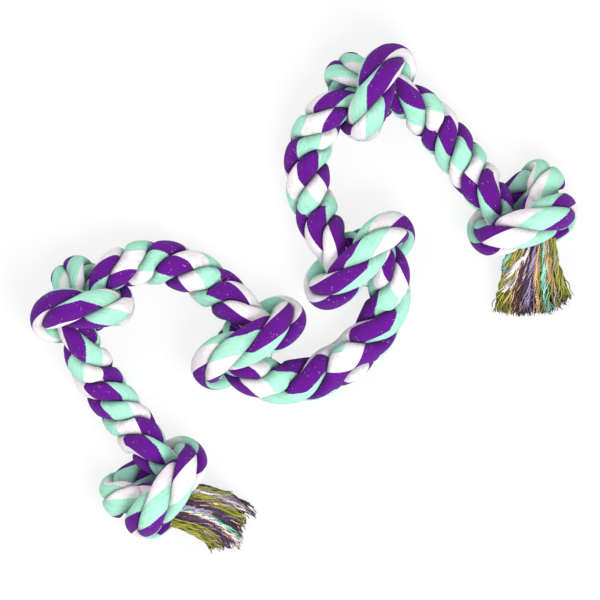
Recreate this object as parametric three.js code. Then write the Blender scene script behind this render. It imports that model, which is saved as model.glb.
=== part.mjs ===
// Rope dog toy: a three-strand laid cotton rope with six overhand knots and a tassel at each end.
// Millimetres, +Z up. The toy lies on the floor at z = 0 and is mirrored about the plane x = 0.
import * as THREE from 'three';

// Driving dimensions
const ROPE_DIAMETER = 36.6;
const LAY_LENGTH = 62;
const STRAND_GAP = 0.5;
const PIECE_GAP = 0.3;
const TASSEL_LENGTHS = [54, 53, 44.6];
const TASSEL_SPREAD = 34;
const TASSEL_LEAN = 7;
const TASSEL_ROOT_WIDTH = 40;
const TASSEL_ROOT_THICKNESS = 16;
const TASSEL_GAP = 0.5;
const TASSEL_TIP_THICKNESS = 13;

// How the rope is pressed along its route.
// Half width and half thickness are in rope radii, the lay in lay lengths of the free rope.
const FREE = { width: 1, thickness: 1, lay: 1 };
const LIFT = { width: 0.92, thickness: 0.92, lay: 1.1 };
const NECK = { width: 0.75, thickness: 0.8, lay: 1.3 };
const TUCK = { width: 0.55, thickness: 0.56, lay: 1.8 };
const LOOSE_TUCK = { width: 0.56, thickness: 0.63, lay: 1.8 };
const BACK = { width: 0.58, thickness: 0.52, lay: 1.8 };
const REST = { width: 0.67, thickness: 0.52, lay: 1.8 };
const EDGE = { width: 0.7, thickness: 0.54, lay: 1.7 };
const SIDE = { width: 0.8, thickness: 0.6, lay: 1.7 };
const WRAP = { width: 0.87, thickness: 0.65, lay: 1.7 };
const EAR = { width: 0.95, thickness: 0.5, lay: 1.6 };
const FOLD = { width: 0.8, thickness: 0.5, lay: 1.7 };

// Route of the right half, from the middle of the toy to its end, in rope diameters: x, y and height.
// A fifth number is the count of turns that tying has added to the lay up to that point.
const MIDDLE_STRETCH = [
  [FREE, 0, -1.75, 0.51, 0],
  [FREE, 0.55, -1.69, 0.51, 0],
  [FREE, 1.04, -1.56, 0.51, -0.1],
  [FREE, 1.42, -1.31, 0.53],
  [LIFT, 1.68, -1.05, 0.75, -0.31],
];
const MIDDLE_KNOT = [
  [NECK, 1.91, -0.78, 0.93],
  [LOOSE_TUCK, 2.02, -0.46, 0.85, -0.3],
  [LOOSE_TUCK, 1.99, -0.16, 0.77],
  [BACK, 1.67, 0.14, 0.44],
  [REST, 1.09, 0.11, 0.16],
  [SIDE, 0.55, -0.08, 0.47],
  [SIDE, 0.38, -0.3, 0.98],
  [WRAP, 0.82, -0.34, 1.39],
  [WRAP, 1.48, -0.22, 1.48, -0.26],
  [WRAP, 2.16, -0.03, 1.39],
  [SIDE, 2.6, -0.05, 0.98, -0.27],
  [EDGE, 2.51, -0.3, 0.47],
  [REST, 1.97, -0.44, 0.16],
  [BACK, 1.49, -0.45, 0.4],
  [LOOSE_TUCK, 1.16, -0.3, 0.73],
  [LOOSE_TUCK, 1.1, 0.07, 0.85],
  [NECK, 1.2, 0.42, 0.93],
];
const ARM_STRETCH = [
  [LIFT, 1.26, 0.77, 0.75],
  [FREE, 1.37, 1.17, 0.53, -0.33],
  [FREE, 1.48, 1.58, 0.51],
  [FREE, 1.67, 1.94, 0.51, -0.43],
  [FREE, 1.89, 2.27, 0.51],
  [FREE, 2.21, 2.54, 0.53],
  [LIFT, 2.57, 2.74, 0.75, -0.52],
];
const BEND_KNOT = [
  [NECK, 2.92, 2.84, 0.94],
  [TUCK, 3.31, 2.79, 0.87],
  [TUCK, 3.63, 2.57, 0.78],
  [BACK, 3.96, 2.32, 0.39],
  [REST, 4.43, 2.49, 0.16],
  [SIDE, 4.78, 2.7, 0.47],
  [EDGE, 4.78, 2.98, 1.03, -0.42],
  [WRAP, 4.4, 2.9, 1.48],
  [WRAP, 3.99, 2.6, 1.54, -0.39],
  [WRAP, 3.55, 2.27, 1.43],
  [EDGE, 3.26, 2.08, 0.98, -0.4],
  [EDGE, 3.19, 2.33, 0.44],
  [REST, 3.42, 2.82, 0.16],
  [EAR, 3.58, 3.22, 0.36],
  [EAR, 3.73, 3.42, 0.62, -0.42],
  [FOLD, 3.9, 3.22, 0.9],
  [TUCK, 4.13, 2.9, 0.86],
  [TUCK, 4.33, 2.5, 0.87],
  [NECK, 4.43, 2.05, 0.9, -0.44],
];
const SIDE_STRETCH = [
  [LIFT, 4.54, 1.67, 0.73],
  [FREE, 4.62, 1.23, 0.53, -0.45],
  [FREE, 4.64, 0.79, 0.51],
  [FREE, 4.64, 0.36, 0.51],
  [FREE, 4.64, -0.08, 0.53],
  [LIFT, 4.64, -0.52, 0.73, -0.4],
];
const END_KNOT = [
  [NECK, 4.64, -0.87, 0.9],
  [TUCK, 4.56, -1.2, 0.83],
  [TUCK, 4.51, -1.56, 0.74],
  [BACK, 4.62, -1.85, 0.35],
  [REST, 5.11, -2.04, 0.16],
  [SIDE, 5.6, -2.04, 0.5],
  [EDGE, 5.78, -1.93, 1.02, -0.44],
  [WRAP, 5.43, -1.89, 1.51],
  [WRAP, 4.89, -1.78, 1.54, -0.45],
  [WRAP, 4.4, -1.63, 1.49],
  [EDGE, 3.99, -1.48, 1.04],
  [EDGE, 4.04, -1.23, 0.46],
  [REST, 4.59, -1.15, 0.16],
  [REST, 5.19, -1.1, 0.16],
  [EAR, 5.74, -1.09, 0.38],
  [EAR, 5.92, -1.19, 0.68, -0.45],
  [FOLD, 5.7, -1.29, 0.89],
  [TUCK, 5.4, -1.47, 0.83],
  [TUCK, 5.13, -1.72, 0.87],
  [TUCK, 4.94, -2, 0.94],
  [TUCK, 4.72, -2.26, 0.89],
];
const HALF = [
  { name: 'middle_stretch', points: MIDDLE_STRETCH },
  { name: 'middle_knot', points: MIDDLE_KNOT },
  { name: 'arm_stretch', points: ARM_STRETCH },
  { name: 'bend_knot', points: BEND_KNOT },
  { name: 'side_stretch', points: SIDE_STRETCH },
  { name: 'end_knot', points: END_KNOT },
];

// Section of one strand in its third of the rope: distance from the rope's axis in rope radii,
// and angle from the strand's own direction as a share of the way to the next strand's edge.
const STRAND_OUTLINE = [
  { reach: 0, turn: 0 },
  { reach: 0.6, turn: -1 },
  { reach: 0.93, turn: -0.6 },
  { reach: 1, turn: 0 },
  { reach: 0.93, turn: 0.6 },
  { reach: 0.6, turn: 1 },
];
const STRANDS = [
  { name: 'a', colour: 0x6b2a96 },
  { name: 'b', colour: 0xa9e6c8 },
  { name: 'c', colour: 0xf3ecef },
];
const TASSEL_COLOURS = [0x8f9a2e, 0x4a3357, 0xb98f6a];
const COTTON = { roughness: 0.95, metalness: 0 };

// Rings are set closer where the route bends or the strands turn faster.
const SAMPLES_PER_POINT = 24;
const RING_TURN = THREE.MathUtils.degToRad(45);
const RING_LAY = THREE.MathUtils.degToRad(54);
const RING_LENGTH = 0.7 * ROPE_DIAMETER;
const KNOT_CORE_HEIGHT = 0.85 * ROPE_DIAMETER;
const THIRD = (2 * Math.PI) / STRANDS.length;

const ropeRadius = ROPE_DIAMETER / 2;
const up = new THREE.Vector3(0, 0, 1);

function routePoint([section, x, y, z, twist]) {
  return { section, twist, place: new THREE.Vector3(x, y, z).multiplyScalar(ROPE_DIAMETER) };
}

// The turns that tying adds are spread evenly between the points that give them.
function addedTwist(points, position) {
  const marks = points.flatMap(({ twist }, index) => (twist === undefined ? [] : [{ twist, index }]));
  const next = marks.findIndex(({ index }) => index > position);
  if (next < 0) return 2 * Math.PI * marks.at(-1).twist;
  const from = marks[next - 1];
  const share = (position - from.index) / (marks[next].index - from.index);
  return 2 * Math.PI * THREE.MathUtils.lerp(from.twist, marks[next].twist, share);
}

// A wrapped pass is pressed towards the line that runs through its knot, square to the top wrap.
function pressAxis(points) {
  const wraps = points.filter(([section]) => section === WRAP).map((point) => routePoint(point).place);
  if (wraps.length === 0) return null;
  const along = wraps.at(-1).clone().sub(wraps[0]);
  const centre = wraps[1].clone().setZ(KNOT_CORE_HEIGHT);
  return { centre, direction: new THREE.Vector3(-along.y, along.x, 0).normalize() };
}

// Where a knot has an ear, the rope turns back on itself round the ear's middle.
function earCentre(points) {
  const turn = points.filter(([section]) => section === EAR || section === FOLD).map(routePoint);
  return turn.length === 0 ? null : turn[0].place.clone().lerp(turn.at(-1).place, 0.5);
}

function pressOut(place, section, { axis, ear }) {
  if (section === EAR || section === FOLD) return place.clone().sub(ear).normalize();
  if (axis === null) return up.clone();
  return place.clone().sub(axis.centre).projectOnPlane(axis.direction).normalize();
}

// Fine samples of the half route, each with its frame, its section and the angle of the lay.
function sampleRoute() {
  const points = HALF.flatMap((piece) => piece.points.map(routePoint));
  const owners = HALF.flatMap((piece) => piece.points.map(() => piece));
  const mirrored = points[1].place.clone().setX(-points[1].place.x);
  const places = [mirrored, ...points.map((point) => point.place)];
  const curve = new THREE.CatmullRomCurve3(places, false, 'centripetal');
  const coreOf = ({ points: own }) => ({ axis: pressAxis(own), ear: earCentre(own) });
  const cores = new Map(HALF.map((piece) => [piece, coreOf(piece)]));
  const samples = [];
  const steps = (points.length - 1) * SAMPLES_PER_POINT;
  for (let step = 0; step <= steps; step += 1) {
    const index = Math.min(Math.floor(step / SAMPLES_PER_POINT), points.length - 2);
    const share = step / SAMPLES_PER_POINT - index;
    const parameter = (1 + step / SAMPLES_PER_POINT) / points.length;
    const from = points[index].section;
    const to = points[index + 1].section;
    const mix = (key) => THREE.MathUtils.lerp(from[key], to[key], share);
    const piece = owners[share < 0.5 ? index : index + 1];
    const place = curve.getPoint(parameter);
    const tangent = curve.getTangent(parameter);
    const [out, nextOut] = [from, to].map((section) => pressOut(place, section, cores.get(piece)));
    samples.push({
      piece,
      place,
      tangent,
      press: out.lerp(nextOut, share).projectOnPlane(tangent).normalize(),
      width: mix('width') * ropeRadius,
      thickness: mix('thickness') * ropeRadius,
      lay: mix('lay') * LAY_LENGTH,
      twist: addedTwist(points, index + share),
    });
  }
  addFrames(samples);
  return samples;
}

// The normal is carried along without twisting, and the lay turns the strands about it.
function addFrames(samples) {
  let normal = up.clone();
  let length = 0;
  let angle = 0;
  samples.forEach((sample, index) => {
    if (index > 0) {
      const step = sample.place.distanceTo(samples[index - 1].place);
      length += step;
      angle += (2 * Math.PI * step * THREE.MathUtils.smoothstep(length, 0, ropeRadius)) / sample.lay;
    }
    normal = normal.projectOnPlane(sample.tangent).normalize();
    sample.normal = normal.clone();
    sample.side = new THREE.Vector3().crossVectors(sample.tangent, normal);
    sample.length = length;
    sample.angle = angle + sample.twist;
  });
}

// A point of the rope's section: the unit disc pressed to the sample's width and thickness.
// What would sink into the floor is pressed flat on it.
function sectionPoint(sample, reach, angle) {
  const spoke = sample.normal.clone().multiplyScalar(Math.cos(angle));
  spoke.addScaledVector(sample.side, Math.sin(angle));
  const pressed = spoke.dot(sample.press) * (sample.thickness - sample.width);
  const offset = spoke.multiplyScalar(sample.width).addScaledVector(sample.press, pressed);
  const point = sample.place.clone().addScaledVector(offset, reach);
  point.z = Math.max(point.z, 0);
  return point;
}

function strandRing(sample, strand) {
  const middle = sample.angle + strand * THIRD;
  return STRAND_OUTLINE.map(({ reach, turn }) => {
    const radius = Math.max(reach * sample.thickness, STRAND_GAP / 2 / Math.sin(THIRD / 2));
    const edge = THIRD / 2 - Math.asin(Math.min(STRAND_GAP / 2 / radius, 1)) * Math.abs(turn);
    return sectionPoint(sample, radius / sample.thickness, middle + turn * edge);
  });
}

// The same section a little further along the rope.
function shifted(sample, along) {
  const place = sample.place.clone().addScaledVector(sample.tangent, along);
  return { ...sample, place, length: sample.length + along };
}

// The samples of one piece, thinned to its rings, with half a gap left at each cut end.
function pieceRings(samples, piece) {
  const own = samples.filter((sample) => sample.piece === piece);
  const first = own[0].length > 0 ? shifted(own[0], PIECE_GAP / 2) : own[0];
  const cut = samples[samples.indexOf(own.at(-1)) + 1] ?? own.at(-1);
  const last = shifted(cut, -PIECE_GAP / 2);
  const run = [first, ...own.slice(1, -1), last];
  const rings = [first];
  let due = 0;
  for (let index = 1; index < run.length; index += 1) {
    const sample = run[index];
    const before = run[index - 1];
    due += sample.tangent.angleTo(before.tangent) / RING_TURN;
    due += Math.abs(sample.angle - before.angle) / RING_LAY;
    due += (sample.length - before.length) / RING_LENGTH;
    if (due >= 1) {
      rings.push(sample);
      due = 0;
    }
  }
  if (rings.at(-1) !== last) rings[rings.length - (due < 0.5 ? 1 : 0)] = last;
  return rings;
}

// A closed skin over rings of equal point counts, capped at both ends.
// Each face is split along the lay, but the side from the first corner against it, so that
// neighbouring strands lie face to face. The lay runs the other way in the first backward rings.
function skin(rings, outward, backward = 0) {
  const count = rings[0].length;
  const index = [];
  const face = (a, b, c) => index.push(...(outward ? [a, b, c] : [a, c, b]));
  for (let ring = 0; ring < rings.length - 1; ring += 1) {
    for (let corner = 0; corner < count; corner += 1) {
      const here = ring * count + corner;
      const next = ring * count + ((corner + 1) % count);
      if ((corner === 0) !== ring < backward) {
        face(here, next, next + count);
        face(here, next + count, here + count);
      } else {
        face(here, next, here + count);
        face(next, next + count, here + count);
      }
    }
  }
  const last = (rings.length - 1) * count;
  for (let corner = 1; corner < count - 1; corner += 1) {
    face(0, corner + 1, corner);
    face(last, last + corner, last + corner + 1);
  }
  const geometry = new THREE.BufferGeometry().setFromPoints(rings.flat());
  geometry.setIndex(index);
  geometry.computeVertexNormals();
  return geometry;
}

function mirrorRing(ring) {
  return ring.map((point) => point.clone().setX(-point.x));
}

function solid(name, geometry, colour) {
  const mesh = new THREE.Mesh(geometry, new THREE.MeshStandardMaterial({ color: colour, ...COTTON }));
  mesh.name = name;
  return mesh;
}

// The knots and stretches: three strands each. The middle stretch runs through the mirror plane.
function addRope(toy, samples) {
  for (const piece of HALF) {
    const rings = pieceRings(samples, piece);
    STRANDS.forEach(({ name, colour }, strand) => {
      const right = rings.map((sample) => strandRing(sample, strand));
      const left = right.map(mirrorRing);
      if (piece.points === MIDDLE_STRETCH) {
        const whole = [...left.slice(1).reverse(), ...right];
        toy.add(solid(`${piece.name}_${name}`, skin(whole, true, right.length - 1), colour));
      } else {
        toy.add(solid(`right_${piece.name}_${name}`, skin(right, true), colour));
        toy.add(solid(`left_${piece.name}_${name}`, skin(left, false), colour));
      }
    });
  }
}

// A tassel opens from the rope's cut end into three locks of yarn, side by side on the floor,
// that lean a little outwards.
const TASSEL_RINGS = [0, 0.2, 0.45, 0.7, 0.92, 1];
const TASSEL_ON_FLOOR = 0.8;
const TASSEL_BLUNT = 0.75;
const LOCK_CORNERS = 8;

function lockRing(root, lock, share) {
  const spread = THREE.MathUtils.degToRad(TASSEL_SPREAD);
  const apexDistance = TASSEL_ROOT_WIDTH / spread;
  const heading = Math.atan2(root.tangent.y, root.tangent.x);
  const forward = new THREE.Vector3(Math.cos(heading), Math.sin(heading), 0);
  const rise = up.clone().projectOnPlane(share === 0 ? root.tangent : forward).normalize();
  const apex = root.place.clone().addScaledVector(forward, -apexDistance);
  const gone = PIECE_GAP / 2 + share * TASSEL_LENGTHS[lock];
  const distance = apexDistance + gone;
  const lean = (THREE.MathUtils.degToRad(TASSEL_LEAN) * gone) / Math.max(...TASSEL_LENGTHS);
  const middle = heading + (lock - 1) * (spread / STRANDS.length);
  const drop = THREE.MathUtils.smoothstep(share, 0, TASSEL_ON_FLOOR);
  const blunt = share === 1 ? TASSEL_BLUNT : 1;
  const half = blunt * ((distance * spread) / STRANDS.length / 2 - TASSEL_GAP / 2);
  const rounded = Math.sqrt(1 - ((2 * (lock - 1)) / STRANDS.length) ** 2);
  const rootTall = (TASSEL_ROOT_THICKNESS / 2) * rounded;
  const tall = blunt * THREE.MathUtils.lerp(rootTall, TASSEL_TIP_THICKNESS / 2, drop);
  const height = THREE.MathUtils.lerp(root.place.z, TASSEL_TIP_THICKNESS / 2 + PIECE_GAP, drop);
  return Array.from({ length: LOCK_CORNERS }, (_, corner) => {
    const turn = ((corner + 0.5) / LOCK_CORNERS) * 2 * Math.PI;
    const across = middle - Math.asin((half * Math.cos(turn)) / distance);
    const reach = distance * THREE.MathUtils.lerp(1 / Math.cos(across - heading), 1, share);
    const flat = new THREE.Vector3(Math.cos(across), Math.sin(across), 0).multiplyScalar(reach);
    const leaned = flat.add(apex).sub(root.place).applyAxisAngle(up, lean).add(root.place);
    return leaned.setZ(height).addScaledVector(rise, tall * Math.sin(turn));
  });
}

function addTassels(toy, samples) {
  const root = samples.at(-1);
  STRANDS.forEach(({ name }, lock) => {
    const right = TASSEL_RINGS.map((share) => lockRing(root, lock, share));
    toy.add(solid(`right_tassel_${name}`, skin(right, false), TASSEL_COLOURS[lock]));
    toy.add(solid(`left_tassel_${name}`, skin(right.map(mirrorRing), true), TASSEL_COLOURS[lock]));
  });
}

// The least gap between two passes of the rope, measured on points of its outside.
const GAP_CORNERS = 12;
const GAP_STEP = 6;

function leastGap(samples) {
  const corners = Array.from({ length: GAP_CORNERS }, (_, corner) => (corner / GAP_CORNERS) * 2 * Math.PI);
  const rings = samples.filter((_, index) => index % GAP_STEP === 0).map((sample) => ({
    sample,
    points: corners.map((angle) => sectionPoint(sample, 1, angle)),
  }));
  let least = Infinity;
  rings.forEach((one, index) => {
    for (const other of rings.slice(index + 1)) {
      const samePass = 4 * Math.max(one.sample.width, other.sample.width);
      if (other.sample.length - one.sample.length < samePass) continue;
      const reach = one.sample.width + other.sample.width + ropeRadius;
      if (one.sample.place.distanceTo(other.sample.place) > reach) continue;
      for (const a of one.points) for (const b of other.points) least = Math.min(least, a.distanceTo(b));
    }
  });
  return least;
}

const toy = new THREE.Group();
const samples = sampleRoute();
addRope(toy, samples);
addTassels(toy, samples);
console.log(`least gap between passes of the rope: ${leastGap(samples).toFixed(2)} mm`);

export default toy;
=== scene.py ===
"""Dresses the rope dog toy: dyed cotton strands laid into a rope with six overhand knots and two tassels."""

import math
from typing import NamedTuple

import bpy
import numpy as np
from bpy.props import FloatProperty, FloatVectorProperty, IntProperty, PointerProperty
from bpy.types import Operator, Panel, PropertyGroup
from mathutils import Matrix, Vector


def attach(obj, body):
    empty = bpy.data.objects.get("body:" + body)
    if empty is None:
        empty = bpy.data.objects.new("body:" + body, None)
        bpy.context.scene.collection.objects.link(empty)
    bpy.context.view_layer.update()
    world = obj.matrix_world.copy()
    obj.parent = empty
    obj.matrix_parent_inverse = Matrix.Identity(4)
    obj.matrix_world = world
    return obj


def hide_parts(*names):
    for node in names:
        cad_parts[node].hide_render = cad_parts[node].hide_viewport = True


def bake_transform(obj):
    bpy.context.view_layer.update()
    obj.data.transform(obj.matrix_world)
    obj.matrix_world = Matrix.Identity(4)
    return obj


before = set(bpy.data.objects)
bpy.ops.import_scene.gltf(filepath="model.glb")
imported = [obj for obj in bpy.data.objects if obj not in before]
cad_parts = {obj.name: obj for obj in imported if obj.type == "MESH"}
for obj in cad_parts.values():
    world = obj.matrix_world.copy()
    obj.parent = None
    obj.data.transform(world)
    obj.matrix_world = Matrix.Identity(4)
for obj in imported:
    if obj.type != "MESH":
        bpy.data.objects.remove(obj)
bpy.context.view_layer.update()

bl_info = {
    "name": "Rope dog toy",
    "version": (1, 0, 0),
    "blender": (4, 5, 0),
    "location": "View3D > Sidebar > Rope toy",
    "description": "Dyed cotton rope toy with knots and tassels, on the frame of its solids",
    "category": "Object",
}

# How the rope is pressed along its route: half width and half thickness in rope radii, lay in lay lengths.
FREE = (1, 1, 1)
LIFT = (0.97, 0.95, 1.1)
NECK = (0.84, 0.84, 1.3)
TUCK = (0.72, 0.68, 1.8)
LOOSE_TUCK = (0.72, 0.74, 1.8)
BACK = (0.74, 0.64, 1.8)
REST = (0.76, 0.6, 1.8)
EDGE = (0.7, 0.54, 1.7)
SIDE = (0.8, 0.6, 1.7)
WRAP = (0.87, 0.65, 1.7)
EAR = (0.95, 0.58, 1.6)
FOLD = (0.8, 0.55, 1.7)

# Route of the right half, from the middle of the toy to its end, in rope diameters. Some points also give the
# turns that tying has added to the lay up to there, and to the colours.
ROUTE = {
    "middle_stretch": [
        (FREE, 0, -1.75, 0.51, -0.03, 0.3),
        (FREE, 0.55, -1.69, 0.51, 0, 0.5),
        (FREE, 1.04, -1.56, 0.51, -0.1, 0.33),
        (FREE, 1.42, -1.31, 0.53),
        (LIFT, 1.68, -1.05, 0.75, -0.31, 0.31),
    ],
    "middle_knot": [
        (NECK, 1.91, -0.78, 0.93, -0.305, 0.58),
        (LOOSE_TUCK, 2.02, -0.46, 0.85, -0.3, 0.65),
        (LOOSE_TUCK, 1.99, -0.16, 0.77),
        (BACK, 1.67, 0.14, 0.44),
        (REST, 1.09, 0.11, 0.16),
        (SIDE, 0.55, -0.08, 0.47),
        (SIDE, 0.41, -0.3, 0.98),
        (WRAP, 0.82, -0.34, 1.39),
        (WRAP, 1.48, -0.22, 1.48, -0.26, 0.14),
        (WRAP, 2.16, -0.03, 1.39),
        (SIDE, 2.6, -0.05, 0.98, -0.27, 0.36),
        (EDGE, 2.51, -0.3, 0.47),
        (REST, 1.97, -0.44, 0.16),
        (BACK, 1.49, -0.45, 0.4),
        (LOOSE_TUCK, 1.16, -0.3, 0.73),
        (LOOSE_TUCK, 1.1, 0.07, 0.85),
        (NECK, 1.2, 0.42, 0.93),
    ],
    "arm_stretch": [
        (LIFT, 1.26, 0.77, 0.75),
        (FREE, 1.37, 1.17, 0.53, -0.33, -0.05),
        (FREE, 1.48, 1.58, 0.51),
        (FREE, 1.67, 1.94, 0.51, -0.43, 0.24),
        (FREE, 1.89, 2.27, 0.51),
        (FREE, 2.21, 2.54, 0.53),
        (LIFT, 2.57, 2.74, 0.75, -0.52, 0.33),
    ],
    "bend_knot": [
        (NECK, 2.92, 2.84, 0.94),
        (TUCK, 3.31, 2.79, 0.87),
        (TUCK, 3.63, 2.57, 0.78),
        (BACK, 3.96, 2.32, 0.39),
        (REST, 4.43, 2.49, 0.16),
        (SIDE, 4.78, 2.7, 0.47, -0.4343, 1.12),
        (EDGE, 4.78, 2.98, 1.03, -0.42, 0.98),
        (WRAP, 4.4, 2.9, 1.48),
        (WRAP, 3.99, 2.6, 1.54, -0.39, 0.72),
        (WRAP, 3.55, 2.27, 1.43),
        (EDGE, 3.26, 2.08, 0.98, -0.4, 1),
        (EDGE, 3.19, 2.33, 0.44),
        (REST, 3.42, 2.82, 0.16),
        (EAR, 3.58, 3.22, 0.36),
        (EAR, 3.73, 3.42, 0.62, -0.42, 0.66),
        (FOLD, 3.9, 3.22, 0.9, -0.425, 0.85),
        (TUCK, 4.13, 2.9, 0.86, -0.43, 0.9),
        (TUCK, 4.33, 2.5, 0.87),
        (NECK, 4.43, 2.05, 0.9, -0.44, 0.93),
    ],
    "side_stretch": [
        (LIFT, 4.54, 1.67, 0.73),
        (FREE, 4.62, 1.23, 0.53, -0.45, 1.26),
        (FREE, 4.64, 0.79, 0.51),
        (FREE, 4.64, 0.36, 0.51, -0.425, 1.15),
        (FREE, 4.64, -0.08, 0.53),
        (LIFT, 4.64, -0.52, 0.73, -0.4, 1.25),
    ],
    "end_knot": [
        (NECK, 4.64, -0.87, 0.9, -0.405, 1.18),
        (TUCK, 4.56, -1.2, 0.83, -0.41, 1.36),
        (TUCK, 4.51, -1.56, 0.74),
        (BACK, 4.62, -1.85, 0.35),
        (REST, 5.11, -2.04, 0.16),
        (SIDE, 5.6, -2.04, 0.5, -0.43, 0.5),
        (EDGE, 5.78, -1.93, 1.02, -0.44, 0.75),
        (WRAP, 5.43, -1.89, 1.51),
        (WRAP, 4.89, -1.78, 1.54, -0.45, 0.93),
        (WRAP, 4.4, -1.63, 1.49),
        (EDGE, 3.99, -1.48, 1.04),
        (EDGE, 4.04, -1.23, 0.46),
        (REST, 4.59, -1.15, 0.16),
        (REST, 5.19, -1.1, 0.16),
        (EAR, 5.74, -1.09, 0.38),
        (EAR, 5.92, -1.19, 0.68, -0.45, 1.36),
        (FOLD, 5.7, -1.29, 0.89),
        (TUCK, 5.4, -1.47, 0.83, -0.45, 1.45),
        (TUCK, 5.13, -1.72, 0.87),
        (TUCK, 4.94, -2, 0.94),
        (TUCK, 4.72, -2.26, 0.89),
    ],
}
TWIST_COLUMN = 4
DYE_COLUMN = 5
STRANDS = "abc"
FULL_TURN = 2 * math.pi
# Turns a place of the right half into its place on the left.
MIRROR = np.array((-1, 1, 1))
# Fine samples from each point of the route to the next, and how many of them a ring of a strand takes.
SAMPLES_PER_POINT = 24
RING_EVERY = 2
# Height of the line that the passes of a knot are pressed towards, in rope diameters.
KNOT_CORE_HEIGHT = 0.85
# The share of a strand's section that faces outwards, and half the angle that it covers there.
OUTSIDE_SHARE = 2 / 3
STRAND_HALF_ANGLE = 0.985 * math.pi / 3
# How the outside of a strand falls from its crown into the grooves: the weights and powers of two slopes.
CROWN_FALL = (0.35, 2.0)
FLANK_FALL = (0.65, 6.0)

TASSEL_DYES = ("olive", "tan", "plum", "lilac", "mint", "cream", "brown")
OLIVE, TAN, PLUM, LILAC, MINT, CREAM, BROWN = range(len(TASSEL_DYES))
# Where each lock of a tassel starts and ends across the fan, from the inner edge at -1 to the outer at 1.
LOCK_EDGES = ((-0.82, -0.32), (-0.32, 0.3), (0.3, 0.74))
# The cords on top of each lock: place across at root and tip, share of the length, half width and dye.
TOP_CORDS = {
    "right": (
        (
            (-0.88, -0.9, 0.36, 0.0012, MINT),
            (-0.84, -0.92, 0.98, 0.0012, OLIVE),
            (-0.7, -0.82, 1, 0.0013, OLIVE),
            (-0.6, -0.7, 0.7, 0.0009, TAN),
            (-0.5, -0.72, 1, 0.0013, OLIVE),
            (-0.38, -0.62, 0.98, 0.0011, TAN),
            (-0.3, -0.54, 1, 0.0013, BROWN),
            (-0.24, -0.78, 0.66, 0.0019, CREAM),
            (-0.12, -0.62, 0.62, 0.001, CREAM),
        ),
        (
            (-0.18, -0.46, 1, 0.0013, BROWN),
            (-0.14, -0.36, 1, 0.0011, TAN),
            (-0.06, -0.3, 1, 0.0014, PLUM),
            (0.02, -0.22, 0.94, 0.0012, LILAC),
            (0.08, -0.12, 1, 0.0014, PLUM),
            (0.06, -0.34, 0.55, 0.0009, LILAC),
            (0.14, -0.02, 0.98, 0.0009, TAN),
            (0.22, 0.08, 1, 0.0015, OLIVE),
        ),
        (
            (0.38, 0.24, 1, 0.0017, MINT),
            (0.46, 0.38, 0.6, 0.0009, TAN),
            (0.52, 0.42, 1, 0.0013, OLIVE),
            (0.6, 0.54, 0.85, 0.0009, TAN),
            (0.68, 0.64, 1, 0.0013, OLIVE),
            (0.78, 0.78, 0.95, 0.0012, OLIVE),
        ),
    ),
    "left": (
        (
            (-0.86, -0.8, 0.62, 0.0012, OLIVE),
            (-0.84, -0.86, 1, 0.001, PLUM),
            (-0.78, -0.76, 1, 0.0009, LILAC),
            (-0.7, -0.66, 0.92, 0.0008, CREAM),
            (-0.58, -0.52, 1, 0.0014, OLIVE),
            (-0.46, -0.42, 1, 0.0012, TAN),
            (-0.38, -0.36, 0.98, 0.0012, OLIVE),
        ),
        (
            (-0.24, -0.24, 1, 0.0014, PLUM),
            (-0.12, -0.14, 0.98, 0.0012, BROWN),
            (-0.04, -0.02, 0.4, 0.0016, LILAC),
            (0.1, -0.06, 1, 0.0012, MINT),
            (0.16, 0.02, 0.98, 0.0009, CREAM),
            (0.2, 0.1, 1, 0.0012, TAN),
            (0.28, 0.2, 0.9, 0.001, BROWN),
        ),
        (
            (0.36, 0.28, 1, 0.0013, PLUM),
            (0.46, 0.38, 1, 0.0013, PLUM),
            (0.54, 0.44, 0.9, 0.0006, OLIVE),
            (0.6, 0.52, 1, 0.001, TAN),
            (0.68, 0.6, 1, 0.0012, OLIVE),
            (0.8, 0.78, 1, 0.0014, OLIVE),
        ),
    ),
}
# Loose threads on top: place across and share of the length, where each starts and where it ends.
LOOSE_THREADS = {
    "right": (
        ((-0.95, 0.3, -0.75, 0.36), (-0.9, 0.22, -0.8, 0.5)),
        ((0.3, 0.5, -0.2, 0.64), (-0.36, 0.84, -0.06, 0.7)),
        ((0.5, 0.7, 0.72, 0.92),),
    ),
    "left": (((-0.5, 0.2, -0.62, 0.7),), ((-0.2, 0.5, -0.4, 0.8),), ((0.5, 0.3, 0.62, 0.7),)),
}
# How far the tips reach across the fan: places across, and shares of the length there.
TIP_REACH = {
    "right": ((-0.4, 0.3, 0.9), (1, 1, 0.83)),
    "left": ((-0.9, -0.5, -0.1, 0.05, 0.3, 0.6, 0.9), (0.98, 0.88, 0.94, 1.04, 0.9, 0.79, 0.58)),
}
TASSEL_SEEDS = {"right": 7, "left": 11}
# The cords below, in rows for each lock: share of the length, cords in a row, height and tone of each row,
# dyes, how far tips and heights stray, and the range of the tones. The low tone of the middle row is painted
# shade, seen in the gaps between the cords on top.
UNDER_REACH = {"right": 0.96, "left": 0.88}
UNDER_CORDS = 7
UNDER_ROWS = ((-0.75, 1), (0.05, 0.3))
UNDER_DYES = (OLIVE, BROWN, OLIVE, PLUM, TAN, BROWN, OLIVE)
UNDER_TIP_STRAY = 0.05
UNDER_ROW_STRAY = 0.2
UNDER_TONES = (0.6, 1.4)
# The cords on top: their height, where the top of the root is 1, how far it strays, and the range of tones.
TOP_ROW = 1.2
TOP_ROW_STRAY = 0.15
TOP_TONES = (0.65, 1.25)
# One cord: its usual half width, the turns of its yarns, how far it sways and the waves of that, in radians.
CORD_HALF_WIDTH = 0.0014
CORD_TURNS = (1.2, 2.2)
CORD_SWAY = 0.06
SWAY_WAVES = (3, 6)
# The height of a cord against its width, how much wider it gets at the tips, and the lengths of its yarns.
CORD_HEIGHT = 0.75
TIP_PARTING = 0.3
YARN_REACH = (0.88, 1)
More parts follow.
